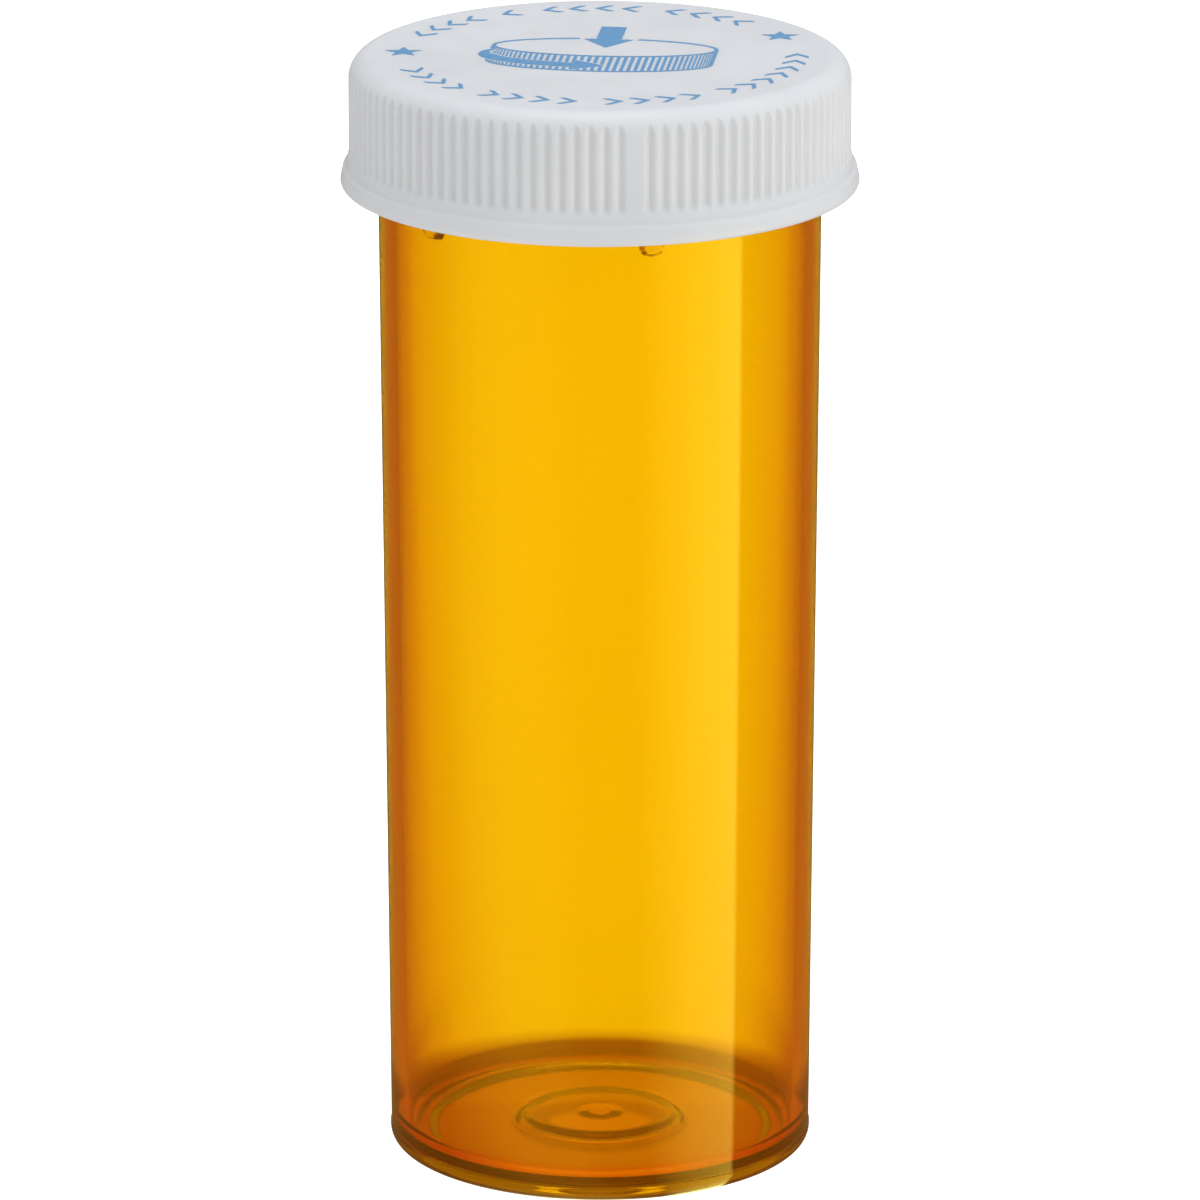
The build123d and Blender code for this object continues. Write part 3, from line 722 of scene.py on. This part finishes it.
def painted_light_and_shadow_under_vial(nodes, links):
    """Painted light and shade on the table near and under the vial: a pool of amber light, then a
    shadow round its foot.
    """
    place = nodes.new("ShaderNodeTexCoord")
    distance = nodes.new("ShaderNodeVectorMath")
    distance.operation = "LENGTH"
    links.new(place.outputs["Object"], distance.inputs[0])
    reach = SHADE_REACH * MM
    out = spread(nodes, links, distance.outputs["Value"], 0, 1, start=0, end=reach)
    sides = []
    for outer in (PAINTED_FRONT_LIGHT, PAINTED_BACK_LIGHT_AND_SHADOW):
        steps = [(r / SHADE_REACH, colour) for r, colour in PAINTED_DIMPLE_LIGHT + outer]
        sides.append(colour_steps(nodes, links, out, steps))
    split = nodes.new("ShaderNodeSeparateXYZ")
    links.new(place.outputs["Object"], split.inputs["Vector"])
    edge = [y * MM for y in SHADE_LINE]
    behind = spread(nodes, links, split.outputs["Y"], 0, 1, *edge)
    return choose(nodes, links, behind, *sides)


def painted_dark_sides(nodes, links):
    """Painted shade on the table by how far it is to one side, which gives clear plastic dark
    edges.

    In front of the vial it fades to white, so that the view from behind shows no edge in it.
    """
    place = nodes.new("ShaderNodeTexCoord")
    split = nodes.new("ShaderNodeSeparateXYZ")
    links.new(place.outputs["Object"], split.inputs["Vector"])
    aside = nodes.new("ShaderNodeMath")
    aside.operation = "ABSOLUTE"
    links.new(split.outputs["X"], aside.inputs[0])
    back = nodes.new("ShaderNodeMath")
    back.operation = "ADD"
    links.new(split.outputs["Y"], back.inputs[0])
    back.inputs[1].default_value = SIDE_START * MM
    slope = nodes.new("ShaderNodeMath")
    slope.operation = "DIVIDE"
    links.new(aside.outputs["Value"], slope.inputs[0])
    links.new(back.outputs["Value"], slope.inputs[1])
    sides = colour_steps(nodes, links, slope.outputs["Value"], PAINTED_SIDE_SHADE)
    fade = [y * MM for y in SIDE_FADE]
    shown = spread(nodes, links, split.outputs["Y"], 0, 1, *fade)
    return choose(nodes, links, shown, plain(nodes, WHITE), sides)


def make_floor():
    """A pale lit table, with painted light and shade round the vial and at its sides where it is
    seen through the plastic, and painted reflections where glossy rays see it.

    It is clear from below, so that the underside can be looked at.
    """
    reach = FLOOR_REACH
    drop = -TABLE_GAP * MM
    corners = [(-reach, -reach), (reach, -reach), (reach, reach), (-reach, reach)]
    mesh = bpy.data.meshes.new("floor")
    mesh.from_pydata([(x, y, drop) for x, y in corners], [], [(0, 1, 2, 3)])
    obj = bpy.data.objects.new("floor", mesh)
    bpy.context.scene.collection.objects.link(obj)
    mat, nodes, links, shader = new_material("lit_table")
    shader.inputs["Roughness"].default_value = FLOOR_ROUGHNESS
    shader.inputs["Specular IOR Level"].default_value = 0
    # Painted light and shade, which only rays through the vial see.
    shade = tinted(nodes, links, painted_light_and_shadow_under_vial(nodes, links), painted_dark_sides(nodes, links))
    through = ray_kind(nodes, "Is Transmission Ray")
    seen = choose(nodes, links, through, plain(nodes, WHITE), shade)
    bare = tinted(nodes, links, seen, plain(nodes, FLOOR_COLOUR))
    off_gloss = reflected(nodes, links)
    # For glossy rays the table has no lit colour, only its painted reflection bands.
    body = choose(nodes, links, off_gloss, bare, plain(nodes, BLACK))
    links.new(body, shader.inputs["Base Color"])
    glow = choose(nodes, links, off_gloss, seen, painted_reflection_dial(nodes, links))
    links.new(glow, shader.inputs["Emission Color"])
    glossy = spread(nodes, links, off_gloss, 1, PAINTED_REFLECTION_PEAK, start=0, end=1)
    lights = ray_kind(nodes, "Is Diffuse Ray")
    scattered = spread(nodes, links, lights, FLOOR_GLOW, FLOOR_FILL, start=0, end=1)
    links.new(product(nodes, links, glossy, scattered), shader.inputs["Emission Strength"])
    mix = nodes.new("ShaderNodeMixShader")
    links.new(nodes.new("ShaderNodeNewGeometry").outputs["Backfacing"], mix.inputs["Fac"])
    links.new(shader.outputs["BSDF"], mix.inputs[1])
    links.new(nodes.new("ShaderNodeBsdfTransparent").outputs["BSDF"], mix.inputs[2])
    links.new(mix.outputs["Shader"], nodes["Material Output"].inputs["Surface"])
    obj.data.materials.append(mat)


def make_sky():
    """Soft white all round, dimmer and cooler overhead, and dimmer on the left."""
    world = bpy.data.worlds.new("studio")
    world.use_nodes = True
    bpy.context.scene.world = world
    nodes, links = world.node_tree.nodes, world.node_tree.links
    place = nodes.new("ShaderNodeTexCoord")
    split = nodes.new("ShaderNodeSeparateXYZ")
    links.new(place.outputs["Generated"], split.inputs["Vector"])
    up = spread(nodes, links, split.outputs["Z"], 0, 1, *SKY_UP)
    colour = blend_colours(nodes, links, up, HORIZON_COLOUR, ZENITH_COLOUR)
    across = spread(nodes, links, split.outputs["X"], LEFT_SHARE, RIGHT_SHARE, *SKY_ACROSS)
    glossy = spread(nodes, links, reflected(nodes, links), 1, SKY_GLOSS, start=0, end=1)
    links.new(colour, nodes["Background"].inputs["Color"])
    links.new(product(nodes, links, across, glossy), nodes["Background"].inputs["Strength"])


def add_softbox(name, spot, aim, side, power, colour):
    """A square soft light, with its side in metres and its power in watts."""
    light = bpy.data.lights.new(name, "AREA")
    light.shape = "RECTANGLE"
    light.size = side
    light.size_y = side
    light.energy = power
    light.color = colour
    obj = bpy.data.objects.new(name, light)
    obj.location = spot
    obj.rotation_euler = (Vector(aim) - Vector(spot)).to_track_quat("-Z", "Y").to_euler()
    bpy.context.scene.collection.objects.link(obj)


def add_camera():
    """A long lens in front of the vial, looking a little down."""
    camera = bpy.data.cameras.new("camera")
    camera.lens = CAMERA_LENS
    camera.sensor_width = CAMERA_SENSOR
    camera.clip_start = 0.05
    camera.clip_end = 20
    camera.dof.use_dof = False
    obj = bpy.data.objects.new("camera", camera)
    obj.location = CAMERA_SPOT
    obj.rotation_euler = (radians(90 - CAMERA_LOOKS_DOWN), 0, 0)
    bpy.context.scene.collection.objects.link(obj)
    bpy.context.scene.camera = obj


# ---- the scene ---------------------------------------------------------------------------

vial = make_vial()
paint(vial, amber_plastic())
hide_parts("vial_body")
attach(vial, "vial")

cap = make_cap()
paint(cap, white_plastic())
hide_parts("cap_shell")
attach(cap, "cap")

liner_look = milky_plastic()
for node in ("liner_seal", "liner_hub"):
    paint(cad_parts[node], liner_look)
web = make_web(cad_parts["liner_web"])
paint(web, liner_look)
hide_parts("liner_web")
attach(web, "liner")
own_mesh(web)
ink_look = blue_ink()
for node in ("print_marks", "print_stars", "print_symbol", "print_arrows"):
    paint(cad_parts[node], ink_look)

make_floor()
make_sky()
add_softbox(
    "key", spot=(0.45, -0.35, 0.55), aim=(0, 0, 0.06), side=0.4, power=0.8,
    colour=(1.0, 0.99, 0.97),
)
add_softbox(
    "overhead", spot=(0, 0.05, 0.80), aim=(0, 0, 0), side=0.5, power=2.4,
    colour=(0.97, 0.98, 1.0),
)
add_camera()
bpy.context.scene.view_settings.view_transform = "Standard"
